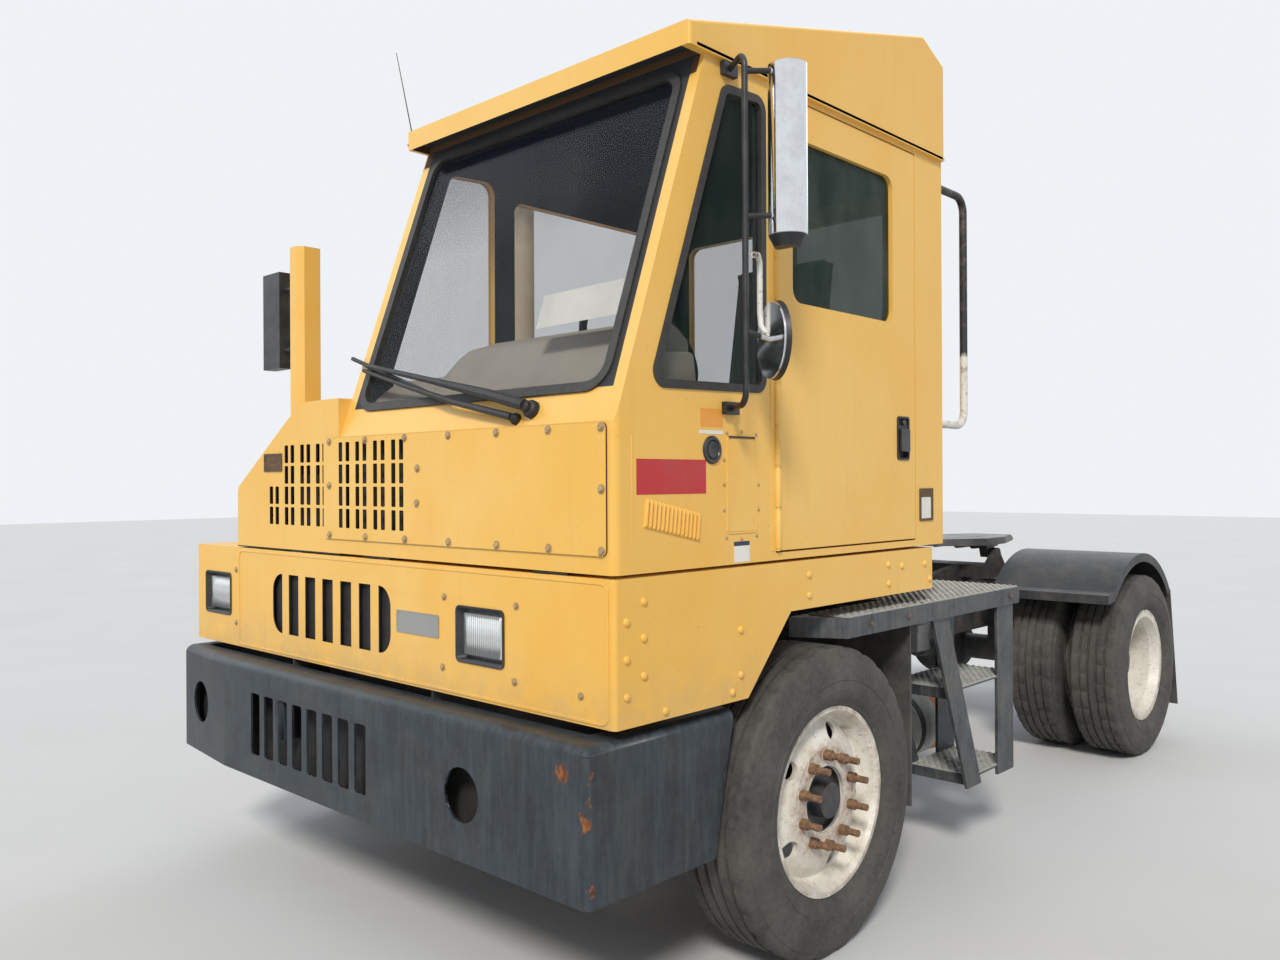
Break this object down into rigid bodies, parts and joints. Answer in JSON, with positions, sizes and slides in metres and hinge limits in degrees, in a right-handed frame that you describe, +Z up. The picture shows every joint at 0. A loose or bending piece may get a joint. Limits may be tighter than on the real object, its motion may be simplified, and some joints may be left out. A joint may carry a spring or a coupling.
{
  "type": "terminal tractor",
  "caption": "Offset-cab yard tractor with wedge roof, engine hood beside the cab, steered front axle, twin rear wheels and a lifting fifth wheel.",
  "frame": {"origin": "on the ground, on the frame's centre line, midway along the length", "axes": "+Z up, +Y to the rear, +X to the driver's side"},
  "size_m": [2.883, 5.02, 3.13],
  "materials": {
    "yellow_paint": "faded, lightly chalked",
    "black_paint": "worn satin",
    "white_paint": "weathered",
    "black_plastic": "matte",
    "grey_plastic": "matte",
    "lamp_glass": "clear",
    "clear_glass": "clear",
    "red_lens": "gloss",
    "engine_iron": "greasy",
    "axle_iron": "greasy",
    "spring_steel": "rusty",
    "deck_steel": "worn tread plate",
    "exhaust_steel": "heat stained",
    "black_rubber": "matte",
    "seat_fabric": "worn",
    "mirror_chrome": "polished",
    "tyre": "worn",
    "plate_steel": "greased",
    "rod_chrome": "polished"
  },
  "bodies": {
    "chassis": {"frame_rails": "black_paint", "front_bumper": "black_paint", "front_skirt": "yellow_paint", "lamp_boxes": "black_plastic", "headlamps": "lamp_glass", "engine_block": "engine_iron", "radiator": "black_paint", "front_axle": "black_paint", "front_springs": "spring_steel", "rear_axle": "black_paint", "drive_shaft": "spring_steel", "rear_deck": "deck_steel", "side_platform": "deck_steel", "side_steps": "black_paint", "fuel_tank": "black_paint", "battery_box": "black_paint", "exhaust_stack": "exhaust_steel", "rear_fenders": "black_paint", "mud_flaps": "black_rubber", "tail_lamps": "red_lens", "intake_post": "yellow_paint", "right_mirror": "black_plastic"},
    "cab": {"cab_shell": "yellow_paint", "cab_roof": "yellow_paint", "engine_hood": "yellow_paint", "front_panel": "yellow_paint", "screen_seal": "black_rubber", "windscreen": "clear_glass", "cab_glass": "clear_glass", "dashboard": "grey_plastic", "steering_wheel": "black_plastic", "driver_seat": "seat_fabric", "left_mirror": "mirror_chrome", "grab_handle": "white_paint", "door_tracks": "black_paint"},
    "door": {"driver_door": "yellow_paint", "door_handle": "black_plastic", "door_glass": "clear_glass"},
    "back_door": {"rear_door": "yellow_paint", "rear_door_glass": "clear_glass"},
    "knuckle_l": {"knuckle_left": "axle_iron"},
    "knuckle_r": {"knuckle_right": "axle_iron"},
    "tie_bar": {"tie_rod": "spring_steel"},
    "front_wheel_l": {"front_tyre_left": "tyre", "front_rim_left": "white_paint"},
    "front_wheel_r": {"front_tyre_right": "tyre", "front_rim_right": "white_paint"},
    "rear_wheels_l": {"rear_tyres_left": "tyre", "rear_rims_left": "white_paint"},
    "rear_wheels_r": {"rear_tyres_right": "tyre", "rear_rims_right": "white_paint"},
    "boom": {"lift_boom": "black_paint"},
    "coupling_plate": {"fifth_wheel": "plate_steel"},
    "barrels": {"lift_barrels": "black_paint"},
    "rods": {"lift_rods": "rod_chrome"}
  },
  "joints": [
    {"name": "cab_tilt", "type": "hinge", "parent": "chassis", "child": "cab", "pos_m": [0, -2.399, 1.262], "axis": [1, 0, 0], "range_deg": [0, 45]},
    {"name": "door_swing", "type": "hinge", "parent": "cab", "child": "door", "pos_m": [1.226, -1.705, 2], "axis": [0, 0, -1], "range_deg": [0, 80]},
    {"name": "back_door_slide", "type": "slide", "parent": "cab", "child": "back_door", "axis": [-1, 0, 0], "range_m": [0, 0.5]},
    {"name": "steer_left", "type": "hinge", "parent": "chassis", "child": "knuckle_l", "pos_m": [0.983, -1.457, 0.488], "axis": [0, 0, 1], "range_deg": [-40, 40]},
    {"name": "steer_right", "type": "hinge", "parent": "chassis", "child": "knuckle_r", "pos_m": [-0.983, -1.457, 0.488], "axis": [0, 0, 1], "range_deg": [-40, 40]},
    {"name": "tie_rod_pivot", "type": "hinge", "parent": "knuckle_l", "child": "tie_bar", "pos_m": [0.943, -1.257, 0.392], "axis": [0, 0, 1], "range_deg": [-40, 40]},
    {"name": "front_roll_left", "type": "hinge", "parent": "knuckle_l", "child": "front_wheel_l", "pos_m": [1.143, -1.457, 0.488], "axis": [1, 0, 0], "continuous": true},
    {"name": "front_roll_right", "type": "hinge", "parent": "knuckle_r", "child": "front_wheel_r", "pos_m": [-1.143, -1.457, 0.488], "axis": [1, 0, 0], "continuous": true},
    {"name": "rear_roll_left", "type": "hinge", "parent": "chassis", "child": "rear_wheels_l", "pos_m": [0.915, 1.743, 0.488], "axis": [1, 0, 0], "continuous": true},
    {"name": "rear_roll_right", "type": "hinge", "parent": "chassis", "child": "rear_wheels_r", "pos_m": [-0.915, 1.743, 0.488], "axis": [1, 0, 0], "continuous": true},
    {"name": "boom_lift", "type": "hinge", "parent": "chassis", "child": "boom", "pos_m": [0, 0.443, 0.84], "axis": [1, 0, 0], "range_deg": [0, 20]},
    {"name": "plate_tilt", "type": "hinge", "parent": "boom", "child": "coupling_plate", "pos_m": [0, 1.563, 1.07], "axis": [1, 0, 0], "range_deg": [-10, 10]},
    {"name": "barrel_swing", "type": "hinge", "parent": "chassis", "child": "barrels", "pos_m": [0, 0.793, 0.6], "axis": [1, 0, 0], "range_deg": [0, 23.2]},
    {"name": "rod_slide", "type": "slide", "parent": "barrels", "child": "rods", "axis": [0, 0.8779, 0.4789], "range_m": [0, 0.14219]}
  ],
  "couplings": [
    {"joint": "steer_right", "follows": "steer_left", "ratio": 1},
    {"joint": "tie_rod_pivot", "follows": "steer_left", "ratio": -1},
    {"joint": "barrel_swing", "follows": "boom_lift", "ratio": 1.1602},
    {"joint": "rod_slide", "follows": "boom_lift", "m_per_rad": 0.40733}
  ]
}
